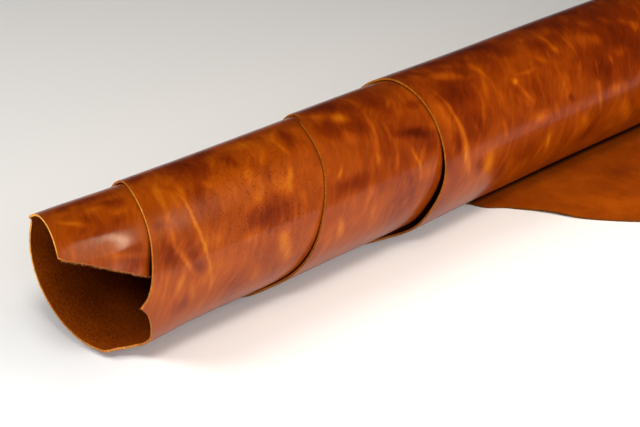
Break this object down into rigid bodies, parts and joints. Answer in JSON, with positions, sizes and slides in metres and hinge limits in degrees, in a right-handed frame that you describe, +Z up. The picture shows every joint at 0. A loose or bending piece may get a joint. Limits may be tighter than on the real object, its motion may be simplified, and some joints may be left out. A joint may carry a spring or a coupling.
{
  "type": "rolled leather hide",
  "caption": "Waxy brown leather hide with natural marbling, wound into a stepped open tube that lies on its own flat outer end.",
  "frame": {"origin": "on the surface that the hide lies on, below the centre of its box", "axes": "+X along the tube from its stepped near end to its far end, +Y from the flat loose end to the tube, +Z up"},
  "size_m": [1.1, 0.3352, 0.1299],
  "materials": {
    "leather": "waxed pull-up grain with a soft shine, matt suede flesh side, raw cut edges"
  },
  "bodies": {
    "root": {"hide": "leather"}
  },
  "joints": []
}
